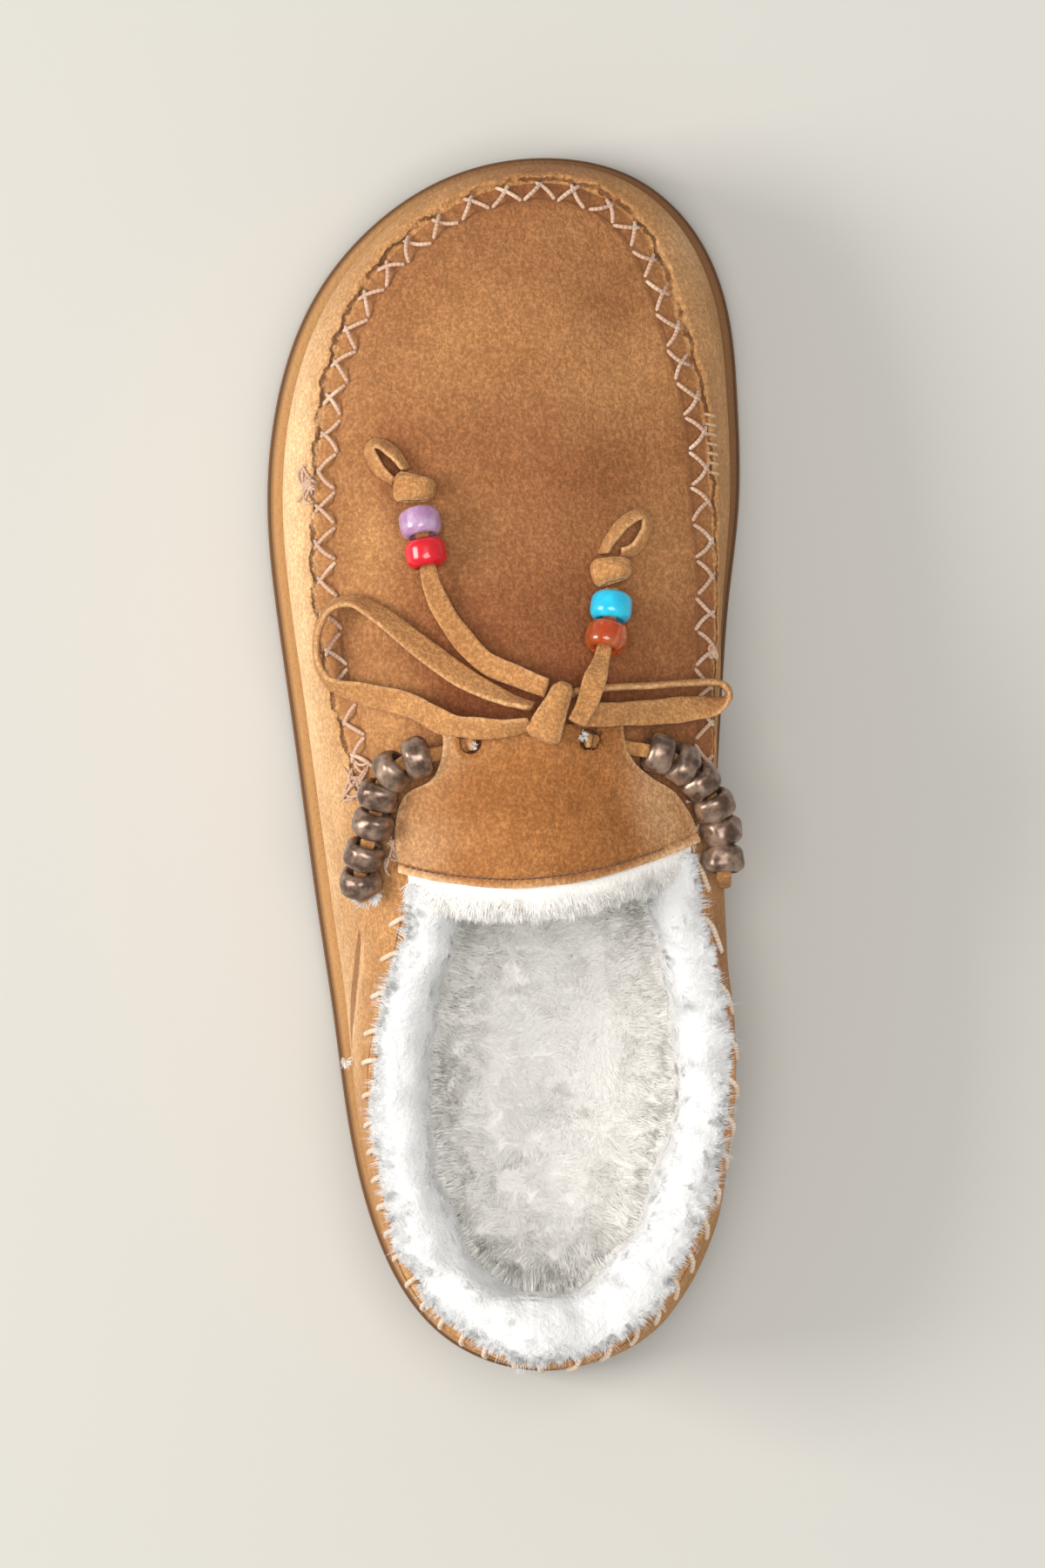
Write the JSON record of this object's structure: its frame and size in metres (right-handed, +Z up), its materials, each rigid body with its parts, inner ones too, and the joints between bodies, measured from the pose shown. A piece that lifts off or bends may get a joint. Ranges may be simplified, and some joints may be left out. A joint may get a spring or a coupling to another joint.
{
  "type": "fur-lined slipper",
  "caption": "Fleece-lined suede moccasin slipper for the left foot, with a stitched plug, throat flap, tied lace bow and strung beads on a moulded sole.",
  "frame": {"origin": "middle of the sole's outline, on the floor that the sole stands on", "axes": "+Y towards the toe along the length, +X towards the inner side of the foot, +Z up"},
  "size_m": [0.0996, 0.255, 0.0698],
  "materials": {
    "sole_rubber": "matte brown moulded sole",
    "fleece": "deep white fleece",
    "suede": "tan brushed suede",
    "suede_brown": "browner brushed suede",
    "suede_lace": "flat suede lace",
    "bead_red": "glossy opaque red",
    "bead_lilac": "pearly lilac",
    "bead_amber": "clear amber orange",
    "bead_turquoise": "glossy opaque turquoise",
    "bead_bronze": "bronze-brown pearl"
  },
  "bodies": {
    "root": {"outsole": "sole_rubber", "insole": "fleece", "upper": "suede", "throat_flap": "suede_brown", "fleece_collar": "fleece", "lace_run_left": "suede_lace", "lace_run_right": "suede_lace", "bow_knot": "suede_lace", "bow_loop_left": "suede_lace", "bow_loop_right": "suede_lace", "lace_tail_left": "suede_lace", "lace_tail_right": "suede_lace", "tail_knot_left": "suede_lace", "tail_knot_right": "suede_lace", "tail_end_left": "suede_lace", "tail_end_right": "suede_lace", "bead_red": "bead_red", "bead_lilac": "bead_lilac", "bead_amber": "bead_amber", "bead_turquoise": "bead_turquoise", "bead_bronze_left_1": "bead_bronze", "bead_bronze_left_2": "bead_bronze", "bead_bronze_left_3": "bead_bronze", "bead_bronze_left_4": "bead_bronze", "bead_bronze_left_5": "bead_bronze", "bead_bronze_left_6": "bead_bronze", "bead_bronze_right_1": "bead_bronze", "bead_bronze_right_2": "bead_bronze", "bead_bronze_right_3": "bead_bronze", "bead_bronze_right_4": "bead_bronze", "bead_bronze_right_5": "bead_bronze", "bead_bronze_right_6": "bead_bronze"}
  },
  "joints": []
}
